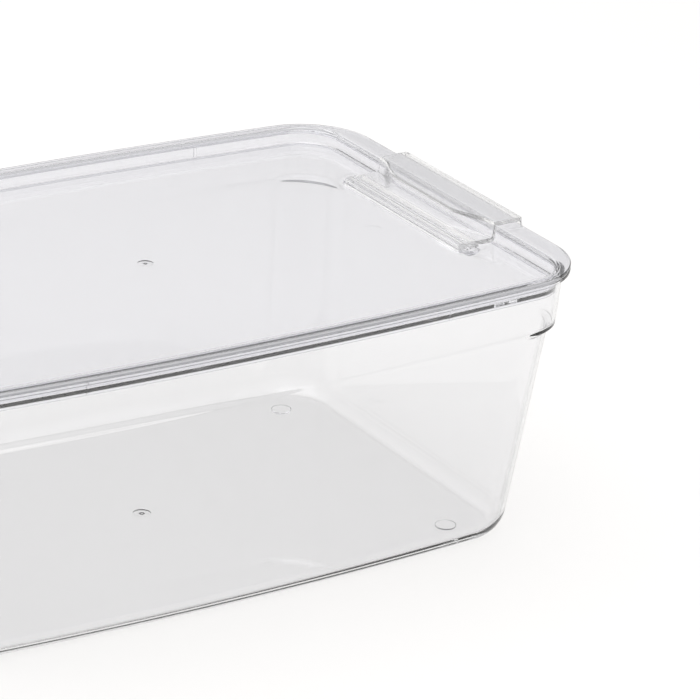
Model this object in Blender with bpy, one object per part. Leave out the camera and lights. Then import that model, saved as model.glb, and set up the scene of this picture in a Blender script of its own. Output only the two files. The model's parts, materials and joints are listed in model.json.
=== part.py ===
"""Clear fridge bin: a tapered tub, a lid with a recessed tray, and a hinged clip latch at each end.

The bin stands on the plane z = 0 with its middle over the origin. X runs along its length,
from one latch to the other, and Y across it. Every size is in metres.
"""

import math

import bmesh
import bpy
from mathutils import Vector

MM = 0.001

# Rim: the outer edge that the tub's flange and the lid's flange share.
RIM_HALF_LENGTH = 160.0 * MM
RIM_HALF_WIDTH = 109.7 * MM
RIM_CORNER = 34.0 * MM
SIDE_BOW = 4.0 * MM
HEIGHT = 127.0 * MM

# Lid.
LID_FLANGE = 1.6 * MM
LID_WALL = 1.2 * MM
TRAY_DEPTH = 7.2 * MM
TRAY_THICKNESS = 1.5 * MM
SKIRT_DEPTH = 9.8 * MM
TRAY_END_INSET = 11.2 * MM
TRAY_SIDE_INSET = 5.9 * MM
TRAY_CORNER = 18.0 * MM
CENTRING_RIB_X = 85.0 * MM
CENTRING_RIB_WIDTH = 1.4 * MM
CENTRING_RIB_PROUD = 0.2 * MM
CENTRING_RIB_FOOT_GAP = 0.6 * MM
CENTRING_RIB_TOP_GAP = 1.4 * MM
SLOT_CLEARANCE = 1.3 * MM
SLOT_CUT_REACH = 5.0 * MM

# Tub.
SEAT_GAP = 0.3 * MM
PLUG_GAP = 0.5 * MM
TUB_FLANGE = 1.5 * MM
TUB_WALL = 1.4 * MM
FLOOR_THICKNESS = 1.8 * MM
SHOULDER_DEPTH = 24.0 * MM
SHOULDER_HEIGHT = 1.6 * MM
BODY_CORNER = 28.0 * MM
UPPER_DRAFT = 0.064
BODY_END_DRAFT = 0.096
BODY_SIDE_DRAFT = 0.125
BASE_FILLET = 10.0 * MM
FOOT_RADIUS = 4.7 * MM
FOOT_HEIGHT = 0.8 * MM
FOOT_X = 113.0 * MM
FOOT_Y = 70.0 * MM
FOOT_OVERLAP = 0.4 * MM

# Latches. Each lies on the lid: its strip on the tray, its riser along the tray's end wall
# and its shelf over the rim, with a lip that hangs down past the rim's edge.
LATCH_HALF_WIDTH = 46.5 * MM
LATCH_LIFT = 0.5 * MM
LATCH_SKIN = 2.0 * MM
LATCH_END_GAP = 0.6 * MM
STRIP_LENGTH = 20.0 * MM
RISER_SKIN = 1.2 * MM
RISER_GAP = 0.6 * MM
RISER_RUN = 1.4 * MM
BULGE = 7.0 * MM
BULGE_EXTRA_RUN = 1.4 * MM
BULGE_HALF_FLAT = 22.0 * MM
BULGE_MARGIN = 1.5 * MM
LIP_TOP_PROUD = 1.8 * MM
LIP_FOOT_PROUD = 2.6 * MM
LIP_TOP_GAP = 0.5 * MM
LIP_FOOT_GAP = 1.3 * MM
LIP_DROP = 4.2 * MM
LIP_EDGE = 0.5 * MM
LIP_CORNER = 0.8 * MM
HINGE_BAR_RADIUS = 1.2 * MM
HINGE_CLEARANCE = 0.3 * MM
KNUCKLE_HALF_LENGTH = 5.2 * MM
KNUCKLE_SKIN = 1.1 * MM
KNUCKLE_MOUTH = math.radians(-34.0)
KNUCKLE_MOUTH_HALF = math.radians(26.0)
RISER_UNDER_TURN = math.radians(62.0)
LUG_THICKNESS = 2.4 * MM
LUG_SHOULDER = 0.8 * MM

# Facets.
CORNER_STEPS = 7
SIDE_STEPS = 8
FILLET_STEPS = 4
ROUND_STEPS = 20
RISER_STEPS = 7
KNUCKLE_STEPS = 6
BULGE_STATIONS = 7
CORNER_STATIONS = 3

# Finish: base colour, roughness and metallic value.
CLEAR_BODY = ((0.90, 0.91, 0.92, 1.0), 0.06, 0.0)
CLEAR_LID = ((0.88, 0.89, 0.91, 1.0), 0.06, 0.0)
CLEAR_LATCH = ((0.92, 0.92, 0.94, 1.0), 0.08, 0.0)

# Derived places.
SEAT_Z = HEIGHT - LID_FLANGE - SEAT_GAP
TRAY_TOP = HEIGHT - TRAY_DEPTH
STRIP_TOP = TRAY_TOP + LATCH_LIFT + LATCH_SKIN
SHELF_TOP = HEIGHT + LATCH_LIFT + LATCH_SKIN
HINGE_BORE = HINGE_BAR_RADIUS + HINGE_CLEARANCE
HINGE_X = RIM_HALF_LENGTH - TRAY_END_INSET - STRIP_LENGTH + KNUCKLE_HALF_LENGTH
HINGE_Z = STRIP_TOP - LATCH_SKIN - HINGE_BORE
KNUCKLE_DROP = HINGE_BORE + KNUCKLE_SKIN


def clear_scene():
    """Remove every object that the scene starts with."""
    for item in list(bpy.data.objects):
        bpy.data.objects.remove(item, do_unlink=True)


def make_material(name, finish):
    """Return a Principled material from a (colour, roughness, metallic) finish."""
    colour, roughness, metallic = finish
    material = bpy.data.materials.new(name)
    material.use_nodes = True
    shader = material.node_tree.nodes["Principled BSDF"]
    shader.inputs["Base Color"].default_value = colour
    shader.inputs["Roughness"].default_value = roughness
    shader.inputs["Metallic"].default_value = metallic
    return material


def outline(half_length, half_width, corner, bow=SIDE_BOW):
    """Return the (x, y) loop of a rounded rectangle whose long sides bow outwards.

    half_width is the half width at the corners' tangent line of an unbowed side, and bow is
    how much further out the middle of each long side stands. Each long side is one wide arc
    that meets its corner arcs in line.
    """
    centre_x = half_length - corner
    middle = half_width + bow
    side_radius = (centre_x**2 + bow**2) / (2 * bow) + corner
    centre_y = middle - side_radius + math.sqrt((side_radius - corner) ** 2 - centre_x**2)
    lean = math.asin(centre_x / (side_radius - corner))
    quarter = []
    for step in range(CORNER_STEPS + 1):
        turn = (math.pi / 2 - lean) * step / CORNER_STEPS
        quarter.append((centre_x + corner * math.cos(turn), centre_y + corner * math.sin(turn)))
    for step in range(1, SIDE_STEPS // 2 + 1):
        turn = lean * (1 - 2 * step / SIDE_STEPS)
        quarter.append((side_radius * math.sin(turn), middle - side_radius + side_radius * math.cos(turn)))
    left = [(-x, y) for x, y in reversed(quarter[:-1])]
    upper = quarter + left
    lower = [(x, -y) for x, y in reversed(upper)]
    return upper + lower


def level(end_inset, side_inset, corner, z):
    """Return the outline at height z, set in from the rim by end_inset and side_inset."""
    points = outline(RIM_HALF_LENGTH - end_inset, RIM_HALF_WIDTH - side_inset, corner)
    return [Vector((x, y, z)) for x, y in points]


def add_object(name, mesh_builder, material=None):
    """Make an object from a bmesh whose faces are turned to point outwards."""
    bmesh.ops.recalc_face_normals(mesh_builder, faces=mesh_builder.faces[:])
    mesh = bpy.data.meshes.new(name)
    mesh_builder.to_mesh(mesh)
    mesh_builder.free()
    thing = bpy.data.objects.new(name, mesh)
    bpy.context.scene.collection.objects.link(thing)
    if material:
        mesh.materials.append(material)
    return thing


def loft(name, rings, material=None):
    """Skin a list of equal rings of points into one closed body with a cap at each end."""
    builder = bmesh.new()
    rows = [[builder.verts.new(point) for point in ring] for ring in rings]
    count = len(rows[0])
    for lower, upper in zip(rows, rows[1:]):
        for index in range(count):
            after = (index + 1) % count
            builder.faces.new((lower[index], lower[after], upper[after], upper[index]))
    builder.faces.new(rows[0])
    builder.faces.new(rows[-1])
    return add_object(name, builder, material)


def smooth(thing, angle_deg=35.0):
    """Shade a piece smooth, with creases where its faces meet at more than angle_deg."""
    thing.data.shade_smooth()
    thing.data.set_sharp_from_angle(angle=math.radians(angle_deg))


def hide_cutter(thing):
    """Keep a Boolean's second body out of the model."""
    thing.hide_render = True
    thing.display_type = "WIRE"


def combine(target, other, operation):
    """Join other to target, or cut it away, and hide other."""
    modifier = target.modifiers.new(other.name, "BOOLEAN")
    modifier.operation = operation
    modifier.solver = "EXACT"
    modifier.object = other
    hide_cutter(other)


def block(name, low, high):
    """Return a box between two corners."""
    rings = []
    for z in (low[2], high[2]):
        rings.append([Vector((x, y, z)) for x, y in (low[:2], (high[0], low[1]), high[:2], (low[0], high[1]))])
    return loft(name, rings)


def prism_along_y(name, profile, y_low, y_high):
    """Return a body with an (x, z) profile between two planes across Y."""
    rings = [[Vector((x, y, z)) for x, z in profile] for y in (y_low, y_high)]
    return loft(name, rings)


def circle_points(centre, radius, steps, start=0.0, stop=2 * math.pi):
    """Return steps points on an arc about centre, from the angle start towards stop."""
    turns = [start + (stop - start) * step / steps for step in range(steps)]
    return [(centre[0] + radius * math.cos(turn), centre[1] + radius * math.sin(turn)) for turn in turns]


def fillet_levels(end_inset, side_inset, corner, z_base, radius):
    """Return the levels of a rounded bottom edge, from the flat base up to the wall."""
    levels = []
    for step in range(FILLET_STEPS + 1):
        turn = math.pi / 2 * step / FILLET_STEPS
        pull = radius * (1 - math.sin(turn))
        rise = radius * (1 - math.cos(turn))
        levels.append(level(end_inset + pull, side_inset + pull, corner - pull, z_base + rise))
    return levels


def tub_insets(z, wall):
    """Return how far the tub's wall stands in from the rim at height z, as (end, side).

    wall is how far the surface lies inside the tub's outer surface.
    """
    outside = LID_WALL + PLUG_GAP + TUB_WALL
    end = TRAY_END_INSET - outside
    side = TRAY_SIDE_INSET - outside
    upper = min(SEAT_Z - z, SHOULDER_DEPTH)
    lower = max(SEAT_Z - z - SHOULDER_DEPTH, 0.0)
    end += upper * UPPER_DRAFT + lower * BODY_END_DRAFT + wall
    side += upper * UPPER_DRAFT + lower * BODY_SIDE_DRAFT + wall
    return end, side


def tub_wall_level(z, wall, corner):
    """Return the outline of the tub's wall surface at height z."""
    end, side = tub_insets(z, wall)
    return level(end, side, corner - wall, z)


def make_tub(material):
    """Build the tub: base, drafted wall with shouldered corners, and a flat rim flange."""
    outside = LID_WALL + PLUG_GAP + TUB_WALL
    upper_corner = TRAY_CORNER + outside
    shoulder_top = SEAT_Z - SHOULDER_DEPTH
    shoulder_bottom = shoulder_top - SHOULDER_HEIGHT
    flange_bottom = SEAT_Z - TUB_FLANGE
    fillet_top = FOOT_HEIGHT + BASE_FILLET
    base_end, base_side = tub_insets(fillet_top, 0.0)
    rings = fillet_levels(base_end, base_side, BODY_CORNER, FOOT_HEIGHT, BASE_FILLET)
    rings.append(tub_wall_level(shoulder_bottom, 0.0, BODY_CORNER))
    rings.append(tub_wall_level(shoulder_top, 0.0, upper_corner))
    rings.append(tub_wall_level(flange_bottom, 0.0, upper_corner))
    rings.append(level(0.0, 0.0, RIM_CORNER, flange_bottom))
    rings.append(level(0.0, 0.0, RIM_CORNER, SEAT_Z))
    rings.append(tub_wall_level(SEAT_Z, TUB_WALL, upper_corner))
    rings.append(tub_wall_level(shoulder_top + SHOULDER_HEIGHT, TUB_WALL, upper_corner))
    rings.append(tub_wall_level(shoulder_bottom + SHOULDER_HEIGHT, TUB_WALL, BODY_CORNER))
    inner_fillet = BASE_FILLET - TUB_WALL
    floor_top = FOOT_HEIGHT + FLOOR_THICKNESS
    inner_end, inner_side = tub_insets(floor_top + inner_fillet, TUB_WALL)
    inner = fillet_levels(inner_end, inner_side, BODY_CORNER - TUB_WALL, floor_top, inner_fillet)
    tub = loft("tub", rings + inner[::-1], material)
    for index, (side_x, side_y) in enumerate(((1, 1), (-1, 1), (-1, -1), (1, -1))):
        centre = (side_x * FOOT_X, side_y * FOOT_Y)
        ring = circle_points(centre, FOOT_RADIUS, ROUND_STEPS)
        heights = (0.0, FOOT_HEIGHT + FOOT_OVERLAP)
        foot = loft(f"foot_pad_{index}", [[Vector((x, y, z)) for x, y in ring] for z in heights])
        combine(tub, foot, "UNION")
    smooth(tub)
    return tub


def knuckle_slot(side):
    """Return the body that opens the tray for one latch's hinge knuckle."""
    inner = HINGE_X - KNUCKLE_HALF_LENGTH - SLOT_CLEARANCE
    outer = HINGE_X + KNUCKLE_HALF_LENGTH + LATCH_END_GAP
    reach = LATCH_HALF_WIDTH + LATCH_END_GAP
    low_x, high_x = sorted((side * inner, side * outer))
    low = (low_x, -reach, TRAY_TOP - SLOT_CUT_REACH)
    return block(f"knuckle_slot_{side}", low, (high_x, reach, TRAY_TOP + SLOT_CUT_REACH))


def hinge_bar(side):
    """Return the round bar that one latch turns on, with its ends buried in the lugs."""
    reach = LATCH_HALF_WIDTH + LATCH_END_GAP + LUG_THICKNESS / 2
    profile = circle_points((side * HINGE_X, HINGE_Z), HINGE_BAR_RADIUS, ROUND_STEPS)
    return prism_along_y(f"hinge_bar_{side}", profile, -reach, reach)


def hinge_lug(side, end):
    """Return one of the two round-bottomed lugs under the tray that carry a hinge bar."""
    half = KNUCKLE_HALF_LENGTH - LUG_SHOULDER
    top = TRAY_TOP - TRAY_THICKNESS / 2
    profile = []
    for x, z in circle_points((0.0, 0.0), 1.0, ROUND_STEPS // 2, math.pi, 2 * math.pi) + [(1.0, 0.0)]:
        profile.append((side * HINGE_X + half * x, HINGE_Z + KNUCKLE_DROP * z))
    profile += [(side * HINGE_X + half, top), (side * HINGE_X - half, top)]
    near = LATCH_HALF_WIDTH + LATCH_END_GAP
    low_y, high_y = sorted((end * near, end * (near + LUG_THICKNESS)))
    return prism_along_y(f"hinge_lug_{side}_{end}", profile, low_y, high_y)


def plug_level(z, wall, corner):
    """Return the outline of the plug wall at height z, wall outside the tray's own outline."""
    pull = (HEIGHT - z) * UPPER_DRAFT - wall
    return level(TRAY_END_INSET + pull, TRAY_SIDE_INSET + pull, corner + wall, z)


def centring_rib(side_x, side_y):
    """Return a small upright rib on the outside of the lid's plug wall."""
    half = CENTRING_RIB_WIDTH / 2
    centre = side_x * CENTRING_RIB_X
    bow = (1 - (CENTRING_RIB_X / (RIM_HALF_LENGTH - TRAY_END_INSET - TRAY_CORNER)) ** 2) * SIDE_BOW
    face = RIM_HALF_WIDTH - TRAY_SIDE_INSET + LID_WALL + bow
    rings = []
    for depth in (SKIRT_DEPTH - CENTRING_RIB_FOOT_GAP, LID_FLANGE + CENTRING_RIB_TOP_GAP):
        outer = face + CENTRING_RIB_PROUD - depth * UPPER_DRAFT
        inner = outer - CENTRING_RIB_PROUD - LID_WALL / 2
        corners = ((-half, inner), (half, inner), (half, outer), (-half, outer))
        rings.append([Vector((centre + x, side_y * y, HEIGHT - depth)) for x, y in corners])
    return loft(f"centring_rib_{side_x}_{side_y}", rings)


def make_lid(material):
    """Build the lid: flange, plug wall and recessed tray, with a slot and a hinge bar at each end."""
    under = HEIGHT - LID_FLANGE
    skirt = HEIGHT - SKIRT_DEPTH
    tray_under = TRAY_TOP - TRAY_THICKNESS
    rings = [
        plug_level(tray_under, 0.0, TRAY_CORNER),
        plug_level(skirt, 0.0, TRAY_CORNER),
        plug_level(skirt, LID_WALL, TRAY_CORNER),
        plug_level(under, LID_WALL, TRAY_CORNER),
        level(0.0, 0.0, RIM_CORNER, under),
        level(0.0, 0.0, RIM_CORNER, HEIGHT),
        plug_level(HEIGHT, 0.0, TRAY_CORNER),
        plug_level(TRAY_TOP, 0.0, TRAY_CORNER),
    ]
    lid = loft("lid", rings, material)
    for side_x in (1, -1):
        for side_y in (1, -1):
            combine(lid, centring_rib(side_x, side_y), "UNION")
    for side in (1, -1):
        combine(lid, knuckle_slot(side), "DIFFERENCE")
        for end in (1, -1):
            combine(lid, hinge_lug(side, end), "UNION")
        combine(lid, hinge_bar(side), "UNION")
    smooth(lid)
    return lid


def bulge_share(y):
    """Return how far the riser's bulge stands out at y, from 0 at the latch's ends to 1."""
    reach = LATCH_HALF_WIDTH - BULGE_MARGIN
    slope = (reach - abs(y)) / (reach - BULGE_HALF_FLAT)
    slope = min(max(slope, 0.0), 1.0)
    return slope * slope * (3 - 2 * slope)


def corner_pull(y):
    """Return how far the lip's outer face is pulled in at y to round the latch's outer corners."""
    into_corner = abs(y) - (LATCH_HALF_WIDTH - LIP_CORNER)
    if into_corner <= 0:
        return 0.0
    return LIP_CORNER - math.sqrt(max(LIP_CORNER**2 - into_corner**2, 0.0))


def riser_profile(y):
    """Return the riser's upper and under sides at y, both from its foot to its top edge.

    x is measured from the hinge and z from the ground. The riser is a quarter of an ellipse
    that follows the tray's end wall at the latch's ends and bulges inboard between them.
    """
    share = bulge_share(y)
    top_edge = RIM_HALF_LENGTH - TRAY_END_INSET - HINGE_X - RISER_GAP - RISER_SKIN - BULGE * share
    run = RISER_RUN + BULGE_EXTRA_RUN * share
    rise = SHELF_TOP - STRIP_TOP
    upper = []
    under = []
    for step in range(RISER_STEPS + 1):
        turn = math.pi / 2 * step / RISER_STEPS
        upper.append((top_edge - run + run * math.sin(turn), STRIP_TOP + rise * (1 - math.cos(turn))))
        turn = RISER_UNDER_TURN * step / RISER_STEPS
        normal = Vector((rise * math.sin(turn), -run * math.cos(turn))).normalized()
        skin = LATCH_SKIN + (RISER_SKIN - LATCH_SKIN) * math.sin(turn)
        x = top_edge - run + run * math.sin(turn) + skin * normal.x
        under.append((x, STRIP_TOP + rise * (1 - math.cos(turn)) + skin * normal.y))
    under.append((top_edge + RISER_SKIN, SHELF_TOP - LATCH_SKIN))
    return upper, under


def lip_profile(y):
    """Return the lip's outline at y, from the shelf's outer edge round to the shelf's underside."""
    rim_x = RIM_HALF_LENGTH - HINGE_X
    pull = corner_pull(y)
    foot_z = HEIGHT - LIP_DROP
    return [
        (rim_x + LIP_TOP_PROUD - pull - LIP_EDGE, SHELF_TOP),
        (rim_x + LIP_TOP_PROUD - pull, SHELF_TOP - LIP_EDGE),
        (rim_x + LIP_FOOT_PROUD - pull, foot_z),
        (rim_x + LIP_FOOT_GAP, foot_z),
        (rim_x + LIP_TOP_GAP, SHELF_TOP - LATCH_SKIN),
    ]


def knuckle_profile():
    """Return the knuckle's underside, a C round the hinge bar, from the strip to the inboard end."""
    bore_z = HINGE_Z
    half = KNUCKLE_HALF_LENGTH
    first = KNUCKLE_MOUTH + KNUCKLE_MOUTH_HALF
    last = KNUCKLE_MOUTH - KNUCKLE_MOUTH_HALF
    points = [(half, STRIP_TOP - LATCH_SKIN), (half, bore_z)]
    points.append((half * math.cos(first), bore_z + KNUCKLE_DROP * math.sin(first)))
    points += circle_points((0.0, bore_z), HINGE_BORE, ROUND_STEPS, first, last + 2 * math.pi)
    points.append((HINGE_BORE * math.cos(last), bore_z + HINGE_BORE * math.sin(last)))
    for step in range(KNUCKLE_STEPS + 1):
        turn = last + (-math.pi - last) * step / KNUCKLE_STEPS
        points.append((half * math.cos(turn), bore_z + KNUCKLE_DROP * math.sin(turn)))
    return points


def latch_profile(y):
    """Return the latch's (x, z) outline at y, x from the hinge and z from the ground.

    It runs from the inboard end over the strip, riser and shelf to the lip, then back along
    the underside and round the knuckle.
    """
    upper, under = riser_profile(y)
    return [(-KNUCKLE_HALF_LENGTH, STRIP_TOP)] + upper + lip_profile(y) + under[::-1] + knuckle_profile()


def latch_stations():
    """Return the places across the bin at which the latch's profile is worked out."""
    bulge_end = LATCH_HALF_WIDTH - BULGE_MARGIN
    half = [0.0]
    for step in range(BULGE_STATIONS + 1):
        half.append(BULGE_HALF_FLAT + (bulge_end - BULGE_HALF_FLAT) * step / BULGE_STATIONS)
    for step in range(CORNER_STATIONS + 1):
        turn = math.pi / 2 * step / CORNER_STATIONS
        half.append(LATCH_HALF_WIDTH - LIP_CORNER * (1 - math.sin(turn)))
    return [-y for y in reversed(half[1:])] + half


def make_latch(name, side, material):
    """Build one latch with its origin on its hinge."""
    rings = []
    for y in latch_stations():
        rings.append([Vector((side * x, y, z - HINGE_Z)) for x, z in latch_profile(y)])
    latch = loft(name, rings, material)
    latch.location = (side * HINGE_X, 0.0, HINGE_Z)
    smooth(latch)
    return latch


def main():
    """Build the bin with its lid on and both latches closed."""
    clear_scene()
    make_tub(make_material("clear_tub", CLEAR_BODY))
    make_lid(make_material("clear_lid", CLEAR_LID))
    latch_material = make_material("clear_latch", CLEAR_LATCH)
    make_latch("latch_right", 1, latch_material)
    make_latch("latch_left", -1, latch_material)
    bpy.context.view_layer.update()


main()
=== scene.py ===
"""Looks of the clear fridge bin: a drafted tub, a lid with a sunk top and two hinged clip latches.

Each class holds one moulding's sizes, builds its mesh and gives it its finish. Sizes are in metres.
"""

from __future__ import annotations

import json
import logging
import math
from dataclasses import dataclass, field
from enum import Enum
from typing import Iterable, List, NamedTuple, Sequence, Tuple

import bmesh
import bpy
from mathutils import Matrix, Vector


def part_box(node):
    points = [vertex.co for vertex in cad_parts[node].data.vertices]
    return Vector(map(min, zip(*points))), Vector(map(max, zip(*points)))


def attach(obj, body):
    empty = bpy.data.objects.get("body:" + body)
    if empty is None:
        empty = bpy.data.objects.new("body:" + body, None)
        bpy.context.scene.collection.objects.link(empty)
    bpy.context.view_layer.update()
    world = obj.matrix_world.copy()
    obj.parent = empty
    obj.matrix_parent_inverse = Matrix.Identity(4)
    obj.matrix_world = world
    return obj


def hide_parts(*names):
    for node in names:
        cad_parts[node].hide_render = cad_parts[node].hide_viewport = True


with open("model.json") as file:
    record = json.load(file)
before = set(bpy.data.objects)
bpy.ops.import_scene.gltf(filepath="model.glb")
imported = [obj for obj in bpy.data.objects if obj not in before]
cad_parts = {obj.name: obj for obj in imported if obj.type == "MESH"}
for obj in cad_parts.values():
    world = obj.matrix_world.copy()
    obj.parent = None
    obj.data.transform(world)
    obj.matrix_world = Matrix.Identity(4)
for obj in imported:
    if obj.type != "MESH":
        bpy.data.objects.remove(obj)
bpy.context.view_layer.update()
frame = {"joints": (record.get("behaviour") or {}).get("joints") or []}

LOG = logging.getLogger("fridge_bin")
MM = 0.001
SIDE_BOW = 4.0 * MM
WELD_DISTANCE = 0.0005 * MM
CUTTER_OVERRUN = 0.5 * MM

Point2 = Tuple[float, float]


class Place(Enum):
    """Which end of the bin a latch sits at."""

    RIGHT = 1
    LEFT = -1


class Level(NamedTuple):
    """One loop round a moulding: how far it stands in from the rim, its corner radius and its height."""

    end: float
    side: float
    corner: float
    z: float
    round: float = 0.0


# ---------------------------------------------------------------------------------------------
# Mesh work shared by all mouldings
# ---------------------------------------------------------------------------------------------


def deselect_all() -> None:
    """Leave edit mode and deselect every object."""
    if bpy.context.object and bpy.context.object.mode != "OBJECT":
        bpy.ops.object.mode_set(mode="OBJECT")
    bpy.ops.object.select_all(action="DESELECT")


def make_active(piece: bpy.types.Object) -> None:
    """Select one object alone and make it active."""
    deselect_all()
    piece.select_set(True)
    bpy.context.view_layer.objects.active = piece


def skin_rings(name: str, rings: Sequence[Sequence[Vector]]) -> bpy.types.Object:
    """Extrude a ring of edges from loop to loop and close both ends.

    Args:
        name: name of the new object.
        rings: the loops in order, all with the same number of points.

    Returns:
        The closed body, with its faces turned outwards.
    """
    count = len(rings[0])
    deselect_all()
    bpy.ops.mesh.primitive_circle_add(vertices=count, radius=1.0, fill_type="NOTHING")
    piece = bpy.context.object
    piece.name = name
    piece.data.name = name
    bpy.ops.object.mode_set(mode="EDIT")
    bpy.ops.mesh.select_mode(type="VERT")
    bpy.ops.mesh.select_all(action="SELECT")
    work = bmesh.from_edit_mesh(piece.data)
    work.verts.ensure_lookup_table()
    loop = [0]
    while len(loop) < count:
        here = work.verts[loop[-1]]
        near = [edge.other_vert(here).index for edge in here.link_edges]
        fresh = [index for index in sorted(near) if index not in loop[-2:] and index not in loop[:1]]
        loop.append(fresh[0])
    first = list(loop)
    for index, point in zip(loop, rings[0]):
        work.verts[index].co = point
    for ring in rings[1:]:
        bpy.ops.mesh.extrude_region_move()
        work = bmesh.from_edit_mesh(piece.data)
        work.verts.ensure_lookup_table()
        work.verts.index_update()
        grown = []
        for index, point in zip(loop, ring):
            vert = next(
                edge.other_vert(work.verts[index])
                for edge in work.verts[index].link_edges
                if edge.other_vert(work.verts[index]).select
            )
            vert.co = point
            grown.append(vert.index)
        loop = grown
    bpy.ops.mesh.edge_face_add()
    bpy.ops.mesh.select_all(action="DESELECT")
    work = bmesh.from_edit_mesh(piece.data)
    work.verts.ensure_lookup_table()
    for index in first:
        work.verts[index].select = True
    work.select_flush(True)
    bmesh.update_edit_mesh(piece.data)
    bpy.ops.mesh.edge_face_add()
    bpy.ops.mesh.select_all(action="SELECT")
    bpy.ops.mesh.normals_make_consistent(inside=False)
    bpy.ops.object.mode_set(mode="OBJECT")
    return piece


def turn_section(name: str, section: Sequence[Point2], centre: Vector, steps: int) -> bpy.types.Object:
    """Spin an open (radius, height) section about an upright axis into a closed round body.

    Args:
        name: name of the new object.
        section: points from the axis at the bottom to the axis at the top.
        centre: the axis's foot.
        steps: number of steps round the axis.

    Returns:
        The round body.
    """
    deselect_all()
    bpy.ops.mesh.primitive_circle_add(vertices=3, radius=1.0, fill_type="NOTHING")
    piece = bpy.context.object
    piece.name = name
    bpy.ops.object.mode_set(mode="EDIT")
    work = bmesh.from_edit_mesh(piece.data)
    work.clear()
    verts = [work.verts.new(centre + Vector((radius, 0.0, height))) for radius, height in section]
    for low, high in zip(verts, verts[1:]):
        work.edges.new((low, high))
    bmesh.update_edit_mesh(piece.data)
    bpy.ops.mesh.select_all(action="SELECT")
    bpy.ops.mesh.spin(steps=steps, angle=2 * math.pi, center=centre, axis=(0.0, 0.0, 1.0))
    bpy.ops.mesh.select_all(action="SELECT")
    bpy.ops.mesh.remove_doubles(threshold=WELD_DISTANCE)
    bpy.ops.mesh.normals_make_consistent(inside=False)
    bpy.ops.object.mode_set(mode="OBJECT")
    return piece


def apply_modifier(piece: bpy.types.Object, kind: str, **settings: object) -> None:
    """Add a modifier to a piece, set it and apply it."""
    make_active(piece)
    modifier = piece.modifiers.new(kind.lower(), kind)
    for key, value in settings.items():
        setattr(modifier, key, value)
    bpy.ops.object.modifier_apply(modifier=modifier.name)


def combine(piece: bpy.types.Object, other: bpy.types.Object, operation: str) -> None:
    """Join another body to a piece, or cut it away, and delete the other body."""
    apply_modifier(piece, "BOOLEAN", operation=operation, solver="EXACT", object=other)
    bpy.data.objects.remove(other, do_unlink=True)


def ease_edges(piece: bpy.types.Object, width: float, angle_deg: float = 40.0, segments: int = 2) -> None:
    """Round every edge of a piece that is sharper than an angle."""
    apply_modifier(
        piece, "BEVEL", width=width, segments=segments, limit_method="ANGLE",
        angle_limit=math.radians(angle_deg), harden_normals=False,
    )


def shade(piece: bpy.types.Object, angle_deg: float = 30.0) -> None:
    """Shade a piece smooth, with creases at sharp edges and true normals on its flats."""
    apply_modifier(piece, "TRIANGULATE", min_vertices=5, ngon_method="BEAUTY")
    bpy.ops.object.shade_smooth_by_angle(angle=math.radians(angle_deg))
    apply_modifier(piece, "WEIGHTED_NORMAL", keep_sharp=True, weight=100)


def blend_corner(before: Level, here: Level, after: Level, steps: int) -> List[Level]:
    """Return the levels of a round edge in place of the corner that three levels make."""
    def reach(other: Level) -> float:
        return math.hypot(other.side - here.side, other.z - here.z)

    pulls = []
    for other in (before, after):
        share = min(here.round / max(reach(other), 1e-9), 0.49)
        pulls.append([a + (b - a) * share for a, b in zip(here[:4], other[:4])])
    arms = [Vector((pull[1] - here.side, pull[3] - here.z)).normalized() for pull in pulls]
    weight = math.sin(max(arms[0].angle(arms[1]), 0.05) / 2)
    levels = []
    for step in range(steps + 1):
        share = step / steps
        parts = ((1 - share) ** 2, 2 * share * (1 - share) * weight, share**2)
        total = sum(parts)
        mixed = [
            (a * parts[0] + b * parts[1] + c * parts[2]) / total
            for a, b, c in zip(pulls[0], here[:4], pulls[1])
        ]
        levels.append(Level(*mixed))
    return levels


def round_section(keys: Sequence[Level], steps: int = 5) -> List[Level]:
    """Return a section's levels with each corner rounded by its own radius."""
    levels = [keys[0]]
    for before, here, after in zip(keys, keys[1:], keys[2:]):
        if here.round > 0:
            levels += blend_corner(before, here, after, max(steps, int(here.round / MM)))
        else:
            levels.append(here)
    levels.append(keys[-1])
    return levels


# ---------------------------------------------------------------------------------------------
# Finishes
# ---------------------------------------------------------------------------------------------


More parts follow.
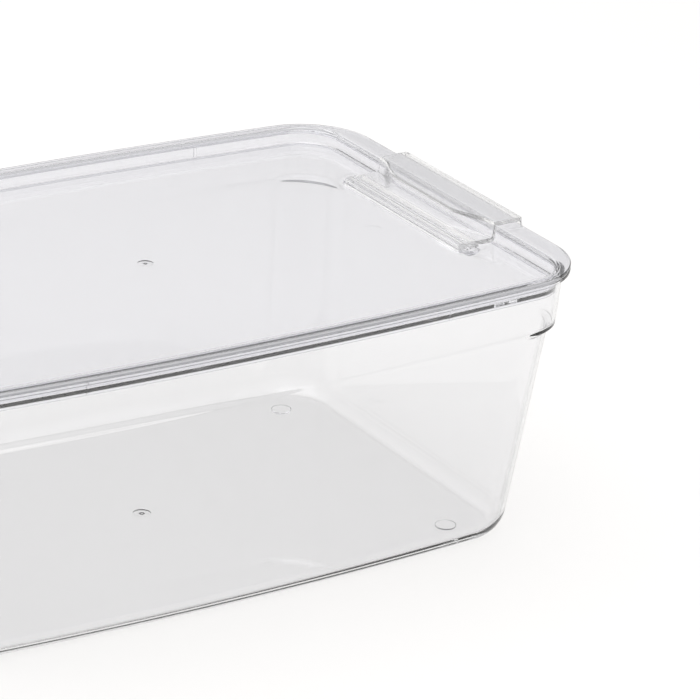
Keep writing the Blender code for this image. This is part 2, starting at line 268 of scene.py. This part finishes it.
@dataclass(frozen=True)
class ClearPlastic:
    """Polished clear plastic with the faint waviness and haze of a moulding."""

    name: str
    tint: Tuple[float, float, float]
    roughness: float = 0.006
    haze: float = 0.012
    refraction: float = 1.56
    wave_scale: float = 26.0
    wave_depth: float = 0.02 * MM
    shadow: float = 0.955
    # edge_shade and edge_start set the painted shade that darkens the tint where the plastic is seen edge
    # on
    edge_shade: float = 0.35
    edge_start: float = 0.65

    def material(self) -> bpy.types.Material:
        """Return the finish as a node material on Object coordinates."""
        material = bpy.data.materials.new(self.name)
        material.use_nodes = True
        tree = material.node_tree
        nodes, links = tree.nodes, tree.links
        glass = nodes["Principled BSDF"]
        glass.inputs["Base Color"].default_value = (*self.tint, 1.0)
        # painted shade: the tint darkens where the plastic is seen edge on
        self.paint_edge_shade(tree, glass)
        glass.inputs["Transmission Weight"].default_value = 1.0
        glass.inputs["IOR"].default_value = self.refraction
        place = nodes.new("ShaderNodeTexCoord")
        wave = nodes.new("ShaderNodeTexNoise")
        wave.inputs["Scale"].default_value = self.wave_scale
        wave.inputs["Detail"].default_value = 1.0
        links.new(place.outputs["Object"], wave.inputs["Vector"])
        bump = nodes.new("ShaderNodeBump")
        bump.inputs["Strength"].default_value = 1.0
        bump.inputs["Distance"].default_value = self.wave_depth
        links.new(wave.outputs["Fac"], bump.inputs["Height"])
        links.new(bump.outputs["Normal"], glass.inputs["Normal"])
        haze = nodes.new("ShaderNodeTexNoise")
        haze.inputs["Scale"].default_value = self.wave_scale * 3.1
        haze.inputs["Detail"].default_value = 3.0
        links.new(place.outputs["Object"], haze.inputs["Vector"])
        spread = nodes.new("ShaderNodeMapRange")
        spread.inputs["To Min"].default_value = self.roughness
        spread.inputs["To Max"].default_value = self.roughness + self.haze
        links.new(haze.outputs["Fac"], spread.inputs["Value"])
        links.new(spread.outputs["Result"], glass.inputs["Roughness"])
        self.pass_light(tree, glass)
        return material

    def paint_edge_shade(self, tree: bpy.types.NodeTree, glass: bpy.types.Node) -> None:
        """Paint shade into the tint where the wall is seen edge on: dark outlines that stand in for the
        dark surroundings seen through the edges, on top of the deeper tint of the longer path through the
        plastic.
        """
        nodes, links = tree.nodes, tree.links
        lean = nodes.new("ShaderNodeLayerWeight")
        lean.inputs["Blend"].default_value = 0.5
        # painted shade: this ramp darkens the tint towards edge-on views, drawing dark outlines
        depth = nodes.new("ShaderNodeValToRGB")
        depth.color_ramp.elements[0].position = self.edge_start
        depth.color_ramp.elements[0].color = (*self.tint, 1.0)
        depth.color_ramp.elements[1].position = 1.0
        depth.color_ramp.elements[1].color = (*(value * self.edge_shade for value in self.tint), 1.0)
        links.new(lean.outputs["Facing"], depth.inputs["Fac"])
        links.new(depth.outputs["Color"], glass.inputs["Base Color"])

    def pass_light(self, tree: bpy.types.NodeTree, glass: bpy.types.Node) -> None:
        """Let the lamps and the light bounced off the floor pass through with a faint shadow."""
        nodes, links = tree.nodes, tree.links
        path = nodes.new("ShaderNodeLightPath")
        clear = nodes.new("ShaderNodeBsdfTransparent")
        clear.inputs["Color"].default_value = (self.shadow, self.shadow, self.shadow, 1.0)
        either = nodes.new("ShaderNodeMath")
        either.operation = "MAXIMUM"
        links.new(path.outputs["Is Shadow Ray"], either.inputs[0])
        links.new(path.outputs["Is Diffuse Ray"], either.inputs[1])
        mix = nodes.new("ShaderNodeMixShader")
        links.new(either.outputs[0], mix.inputs["Fac"])
        links.new(glass.outputs["BSDF"], mix.inputs[1])
        links.new(clear.outputs["BSDF"], mix.inputs[2])
        links.new(mix.outputs["Shader"], nodes["Material Output"].inputs["Surface"])


@dataclass(frozen=True)
class PaleFloor:
    """Matt white studio floor with a very faint mottle."""

    name: str = "pale_floor"
    low: Tuple[float, float, float] = (0.955, 0.945, 0.935)
    high: Tuple[float, float, float] = (0.97, 0.96, 0.95)

    def material(self) -> bpy.types.Material:
        """Return the finish as a node material."""
        material = bpy.data.materials.new(self.name)
        material.use_nodes = True
        nodes, links = material.node_tree.nodes, material.node_tree.links
        shader = nodes["Principled BSDF"]
        shader.inputs["Roughness"].default_value = 0.9
        shader.inputs["Specular IOR Level"].default_value = 0.1
        place = nodes.new("ShaderNodeTexCoord")
        noise = nodes.new("ShaderNodeTexNoise")
        noise.inputs["Scale"].default_value = 3.0
        links.new(place.outputs["Object"], noise.inputs["Vector"])
        mottle = nodes.new("ShaderNodeValToRGB")
        mottle.color_ramp.elements[0].color = (*self.low, 1.0)
        mottle.color_ramp.elements[1].color = (*self.high, 1.0)
        links.new(noise.outputs["Fac"], mottle.inputs["Fac"])
        links.new(mottle.outputs["Color"], shader.inputs["Base Color"])
        return material


TUB_PLASTIC = ClearPlastic("clear_tub_plastic", (0.936, 0.937, 0.943))
LID_PLASTIC = ClearPlastic("clear_lid_plastic", (0.93, 0.93, 0.955))
LATCH_PLASTIC = ClearPlastic(
    "clear_latch_plastic", (1.0, 1.0, 1.0), roughness=0.05, haze=0.03, edge_shade=0.8,
)


# ---------------------------------------------------------------------------------------------
# Shared rim outline
# ---------------------------------------------------------------------------------------------


@dataclass
class Rim:
    """The outer edge that the tub's and the lid's flanges share, and the drafted walls under it."""

    half_length: float
    half_width: float
    top: float
    corner: float = 34.0 * MM
    bow: float = SIDE_BOW
    lid_flange: float = 1.6 * MM
    seat_gap: float = 0.3 * MM
    lid_wall: float = 1.2 * MM
    plug_gap: float = 0.5 * MM
    tub_wall: float = 1.4 * MM
    tray_end_inset: float = 11.2 * MM
    tray_side_inset: float = 5.9 * MM
    tray_corner: float = 18.0 * MM
    tray_depth: float = 7.2 * MM
    draft: float = 0.064
    corner_steps: int = 18
    side_steps: int = 28

    @property
    def seat_z(self) -> float:
        """Height of the tub flange's top."""
        return self.top - self.lid_flange - self.seat_gap

    @property
    def tray_z(self) -> float:
        """Height of the lid's sunk top."""
        return self.top - self.tray_depth

    def outline(self, half_length: float, half_width: float, corner: float) -> List[Point2]:
        """Return a rounded rectangle whose long sides bow outwards, as (x, y) points."""
        centre_x = half_length - corner
        middle = half_width + self.bow
        side_radius = (centre_x**2 + self.bow**2) / (2 * self.bow) + corner
        centre_y = middle - side_radius + math.sqrt((side_radius - corner) ** 2 - centre_x**2)
        lean = math.asin(centre_x / (side_radius - corner))
        quarter = []
        for step in range(self.corner_steps + 1):
            turn = (math.pi / 2 - lean) * step / self.corner_steps
            quarter.append((centre_x + corner * math.cos(turn), centre_y + corner * math.sin(turn)))
        for step in range(1, self.side_steps // 2 + 1):
            turn = lean * (1 - 2 * step / self.side_steps)
            x = side_radius * math.sin(turn)
            quarter.append((x, middle - side_radius + side_radius * math.cos(turn)))
        upper = quarter + [(-x, y) for x, y in reversed(quarter[:-1])]
        return upper + [(x, -y) for x, y in reversed(upper)]

    def ring(self, level: Level) -> List[Vector]:
        """Return the loop of points of one level."""
        points = self.outline(self.half_length - level.end, self.half_width - level.side, level.corner)
        return [Vector((x, y, level.z)) for x, y in points]

    def plug(self, z: float, wall: float, rounding: float = 0.0) -> Level:
        """Return the level of the lid's drafted plug wall, wall outside its inner face."""
        pull = (self.top - z) * self.draft - wall
        end, side = self.tray_end_inset + pull, self.tray_side_inset + pull
        return Level(end, side, self.tray_corner + wall, z, rounding)


# ---------------------------------------------------------------------------------------------
# Tub
# ---------------------------------------------------------------------------------------------


@dataclass
class Tub:
    """The tub: base with four foot pads, drafted walls with shouldered corners, and a flat flange."""

    rim: Rim
    finish: ClearPlastic = TUB_PLASTIC
    flange: float = 1.5 * MM
    floor: float = 1.8 * MM
    shoulder_depth: float = 24.0 * MM
    shoulder_height: float = 1.6 * MM
    body_corner: float = 28.0 * MM
    end_draft: float = 0.096
    side_draft: float = 0.125
    base_fillet: float = 10.0 * MM
    foot_radius: float = 4.7 * MM
    foot_height: float = 0.8 * MM
    foot_x: float = 113.0 * MM
    foot_y: float = 70.0 * MM
    gate_radius: float = 1.6 * MM
    dish_radius: float = 4.0 * MM
    dish_depth: float = 0.35 * MM
    gate_depth: float = 0.7 * MM
    cap_inset: float = 14.0 * MM
    wall_ease: float = 0.7 * MM
    flange_root_ease: float = 0.8 * MM
    flange_ease: float = 0.35 * MM
    mouth_ease: float = 0.5 * MM
    foot_ease: float = 0.35 * MM
    foot_overlap: float = 0.3 * MM

    def wall_level(self, z: float, wall: float, corner: float, rounding: float = 0.0) -> Level:
        """Return the level of the tub's wall at a height, wall inside its outer face."""
        rim = self.rim
        outside = rim.lid_wall + rim.plug_gap + rim.tub_wall
        upper = min(rim.seat_z - z, self.shoulder_depth)
        lower = max(rim.seat_z - z - self.shoulder_depth, 0.0)
        end = rim.tray_end_inset - outside + upper * rim.draft + lower * self.end_draft + wall
        side = rim.tray_side_inset - outside + upper * rim.draft + lower * self.side_draft + wall
        return Level(end, side, corner - wall, z, rounding)

    def section(self) -> List[Level]:
        """Return the tub's section from under the base, over the flange, to the floor."""
        rim = self.rim
        upper_corner = rim.tray_corner + rim.lid_wall + rim.plug_gap + rim.tub_wall
        top = rim.seat_z - self.shoulder_depth
        bottom = top - self.shoulder_height
        under = rim.seat_z - self.flange
        floor_z = self.foot_height + self.floor
        base = self.wall_level(self.foot_height, 0.0, self.body_corner, self.base_fillet)
        inner = self.wall_level(floor_z, rim.tub_wall, self.body_corner, self.base_fillet - rim.tub_wall)
        keys = [self.cap(base), base]
        keys.append(self.wall_level(bottom, 0.0, self.body_corner, self.wall_ease))
        keys.append(self.wall_level(top, 0.0, upper_corner, self.wall_ease))
        keys.append(self.wall_level(under, 0.0, upper_corner, self.flange_root_ease))
        keys.append(Level(0.0, 0.0, rim.corner, under, self.flange_ease))
        keys.append(Level(0.0, 0.0, rim.corner, rim.seat_z, self.flange_ease))
        keys.append(self.wall_level(rim.seat_z, rim.tub_wall, upper_corner, self.mouth_ease))
        top += self.shoulder_height
        bottom += self.shoulder_height
        keys.append(self.wall_level(top, rim.tub_wall, upper_corner, self.wall_ease))
        keys.append(self.wall_level(bottom, rim.tub_wall, self.body_corner, self.wall_ease))
        keys += [inner, self.cap(inner)]
        return round_section(keys)

    def cap(self, level: Level) -> Level:
        """Return the level inside another one from which the base or floor is closed flat."""
        inset = self.cap_inset
        return Level(level.end + inset, level.side + inset, level.corner - inset, level.z)

    def add_foot(self, piece: bpy.types.Object, x: float, y: float) -> None:
        """Join one round foot pad with an eased edge to the base."""
        ease = self.foot_ease
        top = self.foot_height + self.foot_overlap
        section = [(0.0, 0.0)]
        for step in range(5):
            turn = math.pi / 2 * step / 4
            section.append((self.foot_radius - ease + ease * math.sin(turn), ease * (1 - math.cos(turn))))
        section += [(self.foot_radius, top), (0.0, top)]
        combine(piece, turn_section("foot_pad", section, Vector((x, y, 0.0)), 48), "UNION")

    def cut_gate_mark(self, piece: bpy.types.Object) -> None:
        """Sink a shallow dish in the middle of the floor with the small round gate mark inside it."""
        top = Vector((0.0, 0.0, self.foot_height + self.floor))
        combine(piece, dish_cutter(top, self.dish_radius, self.dish_depth), "DIFFERENCE")
        combine(piece, gate_cutter(top, self.gate_radius, self.gate_depth), "DIFFERENCE")

    def build(self) -> bpy.types.Object:
        """Build the tub and dress it."""
        piece = skin_rings("tub_shell", [self.rim.ring(level) for level in self.section()])
        for sign_x in (1, -1):
            for sign_y in (1, -1):
                self.add_foot(piece, sign_x * self.foot_x, sign_y * self.foot_y)
        self.cut_gate_mark(piece)
        shade(piece)
        piece.data.materials.clear()
        piece.data.materials.append(self.finish.material())
        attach(piece, "tub")
        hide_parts("tub")
        return piece


def dish_cutter(top: Vector, radius: float, depth: float) -> bpy.types.Object:
    """Return the round body that sinks a shallow rounded dish."""
    section = []
    for step in range(7):
        turn = math.pi / 2 * step / 6
        section.append((radius * math.sin(turn), -depth * math.cos(turn)))
    section += [(radius, CUTTER_OVERRUN), (0.0, CUTTER_OVERRUN)]
    return turn_section("gate_dish", section, top, 40)


def gate_cutter(top: Vector, radius: float, depth: float) -> bpy.types.Object:
    """Return the round body that sinks a dished mark with a small pip left in its middle."""
    pip = radius * 0.3
    section = [(0.0, -depth * 0.35), (pip, -depth * 0.4), (pip * 1.5, -depth)]
    section += [(radius * 0.75, -depth * 0.8), (radius, 0.0)]
    section += [(radius, CUTTER_OVERRUN), (0.0, CUTTER_OVERRUN)]
    return turn_section("gate_mark", section, top, 32)


# ---------------------------------------------------------------------------------------------
# Lid
# ---------------------------------------------------------------------------------------------


@dataclass
class HingeSizes:
    """The hinge that each latch turns on: a round bar under the lid in a C-shaped knuckle."""

    x: float
    z: float
    half_width: float
    bar_radius: float = 1.2 * MM
    clearance: float = 0.3 * MM
    knuckle_half: float = 5.2 * MM
    knuckle_skin: float = 1.1 * MM
    end_gap: float = 0.6 * MM
    slot_clearance: float = 1.3 * MM
    lug: float = 2.4 * MM
    lug_shoulder: float = 0.8 * MM

    @property
    def bore(self) -> float:
        """Radius of the knuckle's bore."""
        return self.bar_radius + self.clearance

    @property
    def drop(self) -> float:
        """How far the knuckle reaches below the hinge's axis."""
        return self.bore + self.knuckle_skin


@dataclass
class Lid:
    """The lid: flange, plug wall, sunk top, and a slot with a hinge bar at each end."""

    rim: Rim
    hinge: HingeSizes
    finish: ClearPlastic = LID_PLASTIC
    tray: float = 1.5 * MM
    skirt_depth: float = 9.8 * MM
    rib_x: float = 85.0 * MM
    rib_width: float = 1.4 * MM
    rib_proud: float = 0.4 * MM
    gate_radius: float = 1.1 * MM
    dish_radius: float = 3.6 * MM
    dish_depth: float = 0.22 * MM
    gate_depth: float = 0.4 * MM
    ejector_radius: float = 4.3 * MM
    ejector_depth: float = 0.08 * MM
    ejector_x: float = 109.0 * MM
    ejector_y: float = -8.0 * MM
    cap_inset: float = 5.0 * MM
    rib_foot_gap: float = 0.5 * MM
    rib_top_gap: float = 1.2 * MM
    slot_reach: float = 5.0 * MM
    slot_corner: float = 0.8 * MM
    tray_under_ease: float = 0.4 * MM
    tray_foot_ease: float = 0.9 * MM
    tray_mouth_ease: float = 0.7 * MM
    skirt_ease: float = 0.3 * MM
    flange_root_ease: float = 0.5 * MM
    flange_under_ease: float = 0.35 * MM
    flange_top_ease: float = 0.5 * MM

    def section(self) -> List[Level]:
        """Return the lid's section from under the sunk top, round the plug and flange, to its top."""
        rim = self.rim
        under = rim.top - rim.lid_flange
        skirt = rim.top - self.skirt_depth
        low = rim.plug(rim.tray_z - self.tray, 0.0, self.tray_under_ease)
        high = rim.plug(rim.tray_z, 0.0, self.tray_foot_ease)
        keys = [self.cap(low), low]
        keys.append(rim.plug(skirt, 0.0, self.skirt_ease))
        keys.append(rim.plug(skirt, rim.lid_wall, self.skirt_ease))
        keys.append(rim.plug(under, rim.lid_wall, self.flange_root_ease))
        keys.append(Level(0.0, 0.0, rim.corner, under, self.flange_under_ease))
        keys.append(Level(0.0, 0.0, rim.corner, rim.top, self.flange_top_ease))
        keys.append(rim.plug(rim.top, 0.0, self.tray_mouth_ease))
        keys += [high, self.cap(high)]
        return round_section(keys)

    def cap(self, level: Level) -> Level:
        """Return the level inside another one from which the sunk top is closed flat."""
        inset = self.cap_inset
        return Level(level.end + inset, level.side + inset, level.corner - inset, level.z)

    def box(self, name: str, low: Vector, high: Vector, ease: float) -> bpy.types.Object:
        """Return a box between two corners with its upright edges rounded."""
        deselect_all()
        bpy.ops.mesh.primitive_cube_add(size=1.0, location=(low + high) / 2)
        piece = bpy.context.object
        piece.name = name
        piece.scale = high - low
        bpy.ops.object.transform_apply(location=True, rotation=True, scale=True)
        bpy.ops.object.mode_set(mode="EDIT")
        bpy.ops.mesh.select_mode(type="EDGE")
        bpy.ops.mesh.select_all(action="DESELECT")
        work = bmesh.from_edit_mesh(piece.data)
        for edge in work.edges:
            edge.select = abs(edge.verts[0].co.z - edge.verts[1].co.z) > 0.5 * (high.z - low.z)
        bmesh.update_edit_mesh(piece.data)
        bpy.ops.mesh.bevel(offset=ease, segments=4, affect="EDGES")
        bpy.ops.object.mode_set(mode="OBJECT")
        return piece

    def cut_slot(self, piece: bpy.types.Object, side: int) -> None:
        """Open the sunk top for one latch's knuckle."""
        hinge = self.hinge
        inner = side * (hinge.x - hinge.knuckle_half - hinge.slot_clearance)
        outer = side * (hinge.x + hinge.knuckle_half + hinge.end_gap)
        reach = hinge.half_width + hinge.end_gap
        low = Vector((min(inner, outer), -reach, self.rim.tray_z - self.slot_reach))
        high = Vector((max(inner, outer), reach, self.rim.tray_z + self.slot_reach))
        combine(piece, self.box("slot_cutter", low, high, self.slot_corner), "DIFFERENCE")

    def add_hinge(self, piece: bpy.types.Object, side: int) -> None:
        """Join one hinge bar and its two lugs to the underside of the sunk top."""
        hinge = self.hinge
        half = hinge.knuckle_half - hinge.lug_shoulder
        top = self.rim.tray_z - self.tray / 2
        near = hinge.half_width + hinge.end_gap
        section = []
        for step in range(17):
            turn = math.pi + math.pi * step / 16
            section.append((side * hinge.x + half * math.cos(turn), hinge.z + hinge.drop * math.sin(turn)))
        section += [(side * hinge.x + half, top), (side * hinge.x - half, top)]
        for end in (1, -1):
            places = (end * near, end * (near + hinge.lug))
            rings = [[Vector((x, y, z)) for x, z in section] for y in places]
            combine(piece, skin_rings("hinge_lug", rings), "UNION")
        reach = near + hinge.lug / 2
        deselect_all()
        bpy.ops.mesh.primitive_cylinder_add(
            vertices=40, radius=hinge.bar_radius, depth=2 * reach,
            location=(side * hinge.x, 0.0, hinge.z), rotation=(math.pi / 2, 0.0, 0.0),
        )
        combine(piece, bpy.context.object, "UNION")

    def add_rib(self, piece: bpy.types.Object, side_x: int, side_y: int) -> None:
        """Join one small upright centring rib to the outside of the plug wall."""
        rim = self.rim
        centre = side_x * self.rib_x
        half = self.rib_width / 2
        lean = self.rib_x / (rim.half_length - rim.tray_end_inset - rim.tray_corner)
        face = rim.half_width - rim.tray_side_inset + rim.lid_wall + (1 - lean**2) * rim.bow
        rings = []
        for depth in (self.skirt_depth - self.rib_foot_gap, rim.lid_flange + self.rib_top_gap):
            outer = face + self.rib_proud - depth * rim.draft
            inner = outer - self.rib_proud - rim.lid_wall / 2
            corners = ((-half, inner), (half, inner), (half, outer), (-half, outer))
            rings.append([Vector((centre + x, side_y * y, rim.top - depth)) for x, y in corners])
        combine(piece, skin_rings("centring_rib", rings), "UNION")

    def add_marks(self, piece: bpy.types.Object) -> None:
        """Sink the gate mark in the middle and the two shallow ejector marks under the top."""
        rim = self.rim
        top = Vector((0.0, 0.0, rim.tray_z))
        combine(piece, dish_cutter(top, self.dish_radius, self.dish_depth), "DIFFERENCE")
        combine(piece, gate_cutter(top, self.gate_radius, self.gate_depth), "DIFFERENCE")
        under = rim.tray_z - self.tray
        radius = self.ejector_radius
        low, high = -CUTTER_OVERRUN, self.ejector_depth
        section = [(0.0, low), (radius, low), (radius, high), (0.0, high)]
        for side in (1, -1):
            centre = Vector((side * self.ejector_x, self.ejector_y, under))
            combine(piece, turn_section("ejector_mark", section, centre, 40), "DIFFERENCE")

    def build(self) -> bpy.types.Object:
        """Build the lid and dress it."""
        piece = skin_rings("lid_shell", [self.rim.ring(level) for level in self.section()])
        for side_x in (1, -1):
            for side_y in (1, -1):
                self.add_rib(piece, side_x, side_y)
        for side in (1, -1):
            self.cut_slot(piece, side)
            self.add_hinge(piece, side)
        self.add_marks(piece)
        shade(piece)
        piece.data.materials.clear()
        piece.data.materials.append(self.finish.material())
        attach(piece, "lid")
        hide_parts("lid")
        return piece


# ---------------------------------------------------------------------------------------------
# Latches
# ---------------------------------------------------------------------------------------------


@dataclass
class Latch:
    """One clip latch: strip, bulging riser, shelf over the rim, lip, and knuckle under the strip."""

    rim: Rim
    hinge: HingeSizes
    place: Place
    finish: ClearPlastic = LATCH_PLASTIC
    lift: float = 0.5 * MM
    skin: float = 2.0 * MM
    riser_skin: float = 1.2 * MM
    riser_gap: float = 0.6 * MM
    riser_run: float = 1.4 * MM
    bulge: float = 7.0 * MM
    bulge_extra_run: float = 1.4 * MM
    bulge_half_flat: float = 22.0 * MM
    bulge_margin: float = 1.5 * MM
    lip_top_proud: float = 1.8 * MM
    lip_foot_proud: float = 2.6 * MM
    lip_top_gap: float = 0.5 * MM
    lip_foot_gap: float = 1.3 * MM
    lip_drop: float = 4.2 * MM
    lip_edge: float = 0.5 * MM
    lip_corner: float = 0.8 * MM
    mouth: float = math.radians(-34.0)
    mouth_half: float = math.radians(26.0)
    riser_steps: int = 18
    round_steps: int = 30
    knuckle_steps: int = 12
    bulge_stations: int = 20
    under_turn: float = math.radians(62.0)
    edge_radius: float = 0.22 * MM

    @property
    def strip_z(self) -> float:
        """Height of the strip's top."""
        return self.rim.tray_z + self.lift + self.skin

    @property
    def shelf_z(self) -> float:
        """Height of the shelf's top."""
        return self.rim.top + self.lift + self.skin

    def bulge_share(self, y: float) -> float:
        """Return how far the riser bulges inboard at y, from 0 at the latch's ends to 1."""
        reach = self.hinge.half_width - self.bulge_margin
        slope = (reach - abs(y)) / (reach - self.bulge_half_flat)
        slope = min(max(slope, 0.0), 1.0)
        return slope * slope * (3 - 2 * slope)

    def corner_pull(self, y: float) -> float:
        """Return how far the lip's outer face is pulled in at y to round its corners."""
        into = abs(y) - (self.hinge.half_width - self.lip_corner)
        if into <= 0:
            return 0.0
        return self.lip_corner - math.sqrt(max(self.lip_corner**2 - into**2, 0.0))

    def riser(self, y: float) -> Tuple[List[Point2], List[Point2]]:
        """Return the riser's upper side and its underside at y, both from the foot up."""
        share = self.bulge_share(y)
        wall_x = self.rim.half_length - self.rim.tray_end_inset - self.hinge.x - self.riser_gap
        top_edge = wall_x - self.riser_skin - self.bulge * share
        run = self.riser_run + self.bulge_extra_run * share
        rise = self.shelf_z - self.strip_z
        upper, under = [], []
        for step in range(self.riser_steps + 1):
            turn = math.pi / 2 * step / self.riser_steps
            x = top_edge - run + run * math.sin(turn)
            upper.append((x, self.strip_z + rise * (1 - math.cos(turn))))
            turn = self.under_turn * step / self.riser_steps
            normal = Vector((rise * math.sin(turn), -run * math.cos(turn))).normalized()
            skin = self.skin + (self.riser_skin - self.skin) * math.sin(turn)
            x = top_edge - run + run * math.sin(turn) + skin * normal.x
            under.append((x, self.strip_z + rise * (1 - math.cos(turn)) + skin * normal.y))
        under.append((top_edge + self.riser_skin, self.shelf_z - self.skin))
        return upper, under

    def lip(self, y: float) -> List[Point2]:
        """Return the lip's outline at y, from the shelf's outer edge to the shelf's underside."""
        rim_x = self.rim.half_length - self.hinge.x
        pull = self.corner_pull(y)
        foot = self.rim.top - self.lip_drop
        points = []
        for step in range(5):
            turn = math.pi / 2 * step / 4
            edge = rim_x + self.lip_top_proud - pull - self.lip_edge * (1 - math.sin(turn))
            points.append((edge, self.shelf_z - self.lip_edge * (1 - math.cos(turn))))
        points += [
            (rim_x + self.lip_foot_proud - pull, foot),
            (rim_x + self.lip_foot_gap, foot),
            (rim_x + self.lip_top_gap, self.shelf_z - self.skin),
        ]
        return points

    def knuckle(self) -> List[Point2]:
        """Return the knuckle's underside, a C round the hinge bar."""
        hinge = self.hinge
        half, bore = hinge.knuckle_half, hinge.bore
        first = self.mouth + self.mouth_half
        last = self.mouth - self.mouth_half
        points = [(half, self.strip_z - self.skin), (half, hinge.z)]
        points.append((half * math.cos(first), hinge.z + hinge.drop * math.sin(first)))
        for step in range(self.round_steps + 1):
            turn = first + (last + 2 * math.pi - first) * step / self.round_steps
            points.append((bore * math.cos(turn), hinge.z + bore * math.sin(turn)))
        for step in range(self.knuckle_steps + 1):
            turn = last + (-math.pi - last) * step / self.knuckle_steps
            points.append((half * math.cos(turn), hinge.z + hinge.drop * math.sin(turn)))
        return points

    def profile(self, y: float) -> List[Point2]:
        """Return the latch's (x, z) outline at y, with x from the hinge."""
        upper, under = self.riser(y)
        start = [(-self.hinge.knuckle_half, self.strip_z)]
        return start + upper + self.lip(y) + under[::-1] + self.knuckle()

    def stations(self) -> List[float]:
        """Return the places across the bin at which the profile is worked out."""
        half_width = self.hinge.half_width
        start, stop = self.bulge_half_flat, half_width - self.bulge_margin
        half = [0.0, start * 0.5]
        for step in range(self.bulge_stations + 1):
            half.append(start + (stop - start) * step / self.bulge_stations)
        for step in range(5):
            turn = math.pi / 2 * step / 4
            half.append(half_width - self.lip_corner * (1 - math.sin(turn)))
        return [-y for y in reversed(half[1:])] + half

    def build(self) -> bpy.types.Object:
        """Build the latch and dress it."""
        side = self.place.value
        name = "latch_" + self.place.name.lower()
        rings = []
        for y in self.stations():
            rings.append([Vector((side * (self.hinge.x + x), y, z)) for x, z in self.profile(y)])
        piece = skin_rings(name + "_clip", rings)
        ease_edges(piece, self.edge_radius)
        shade(piece, 35.0)
        piece.data.materials.clear()
        piece.data.materials.append(self.finish.material())
        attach(piece, name)
        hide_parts(name)
        return piece


# ---------------------------------------------------------------------------------------------
# Studio
# ---------------------------------------------------------------------------------------------


@dataclass
class Studio:
    """Pale floor, soft white surroundings, one soft overhead lamp and the camera."""

    azimuth: float = math.radians(-32.754)
    elevation: float = math.radians(22.893)
    roll: float = math.radians(2.308)
    distance: float = 1.67512
    target: Vector = field(default_factory=lambda: Vector((0.117426, 0.019065, 0.050)))
    lens: float = 190.417
    floor_half: float = 7.0
    floor_drop: float = 0.2 * MM

    def lay_floor(self) -> None:
        """Lay a wide flat floor under the bin."""
        deselect_all()
        bpy.ops.mesh.primitive_plane_add(size=2 * self.floor_half, location=(0.0, 0.0, -self.floor_drop))
        floor = bpy.context.object
        floor.name = "studio_floor"
        floor.data.materials.append(PaleFloor().material())

    def light_world(self) -> None:
        """Fill the surroundings with white overhead that falls off to grey at the horizon."""
        world = bpy.data.worlds.new("soft_surroundings")
        bpy.context.scene.world = world
        world.use_nodes = True
        nodes, links = world.node_tree.nodes, world.node_tree.links
        place = nodes.new("ShaderNodeTexCoord")
        split = nodes.new("ShaderNodeSeparateXYZ")
        links.new(place.outputs["Generated"], split.inputs["Vector"])
        ramp = nodes.new("ShaderNodeValToRGB")
        ramp.color_ramp.elements[0].position = 0.0
        ramp.color_ramp.elements[0].color = (0.16, 0.16, 0.17, 1.0)
        ramp.color_ramp.elements[1].position = 0.7
        ramp.color_ramp.elements[1].color = (1.0, 1.0, 1.0, 1.0)
        links.new(split.outputs["Z"], ramp.inputs["Fac"])
        background = nodes["Background"]
        background.inputs["Strength"].default_value = 1.0
        links.new(ramp.outputs["Color"], background.inputs["Color"])

    def hang_lamp(self, name: str, place: Vector, size: float, power: float) -> None:
        """Hang one square soft lamp that faces the bin."""
        deselect_all()
        bpy.ops.object.light_add(type="AREA", location=place)
        lamp = bpy.context.object
        lamp.name = name
        lamp.data.size = size
        lamp.data.energy = power
        lamp.rotation_euler = (Vector((0.0, 0.0, 0.06)) - place).to_track_quat("-Z", "Y").to_euler()

    def set_camera(self) -> None:
        """Aim the camera."""
        back = Vector((
            math.sin(self.azimuth) * math.cos(self.elevation),
            -math.cos(self.azimuth) * math.cos(self.elevation),
            math.sin(self.elevation),
        ))
        level = Vector((math.cos(self.azimuth), math.sin(self.azimuth), 0.0))
        upright = back.cross(level)
        right = math.cos(self.roll) * level + math.sin(self.roll) * upright
        up = -math.sin(self.roll) * level + math.cos(self.roll) * upright
        data = bpy.data.cameras.new("camera")
        data.lens = self.lens
        data.sensor_width = 36.0
        data.clip_end = 50.0
        camera = bpy.data.objects.new("camera", data)
        bpy.context.scene.collection.objects.link(camera)
        turn = Matrix((right, up, back)).transposed().to_4x4()
        camera.matrix_world = Matrix.Translation(self.target + self.distance * back) @ turn
        bpy.context.scene.camera = camera

    def set_light_paths(self) -> None:
        """Give light enough bounces to pass through all the clear walls."""
        scene = bpy.context.scene
        scene.view_settings.view_transform = "Standard"
        scene.cycles.max_bounces = 32
        scene.cycles.transmission_bounces = 32
        scene.cycles.glossy_bounces = 32
        scene.cycles.diffuse_bounces = 3
        scene.cycles.transparent_max_bounces = 24
        scene.cycles.use_denoising = True

    def build(self) -> None:
        """Set up the whole studio."""
        self.lay_floor()
        self.light_world()
        self.hang_lamp("overhead_lamp", Vector((-0.2, 0.3, 1.8)), 1.6, 10.4)
        self.set_camera()
        self.set_light_paths()


# ---------------------------------------------------------------------------------------------


def read_rim() -> Rim:
    """Return the rim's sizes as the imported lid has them."""
    _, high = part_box("lid")
    return Rim(half_length=high[0], half_width=high[1] - SIDE_BOW, top=high[2])


def read_hinge(rim: Rim) -> HingeSizes:
    """Return the hinge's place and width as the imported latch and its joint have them."""
    _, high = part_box("latch_right")
    joint = next(item for item in frame["joints"] if item["name"] == "latch_right_hinge")
    return HingeSizes(x=joint["pos_m"][0], z=joint["pos_m"][2], half_width=high[1])


def main() -> None:
    """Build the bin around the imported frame, and the studio."""
    logging.basicConfig(level=logging.INFO, format="%(message)s")
    rim = read_rim()
    hinge = read_hinge(rim)
    mouldings: Iterable[object] = (
        Tub(rim),
        Lid(rim, hinge),
        Latch(rim, hinge, Place.RIGHT),
        Latch(rim, hinge, Place.LEFT),
    )
    for moulding in mouldings:
        piece = moulding.build()
        LOG.info("%s: %d faces", piece.name, len(piece.data.polygons))
    Studio().build()


if __name__ == "__main__":
    main()
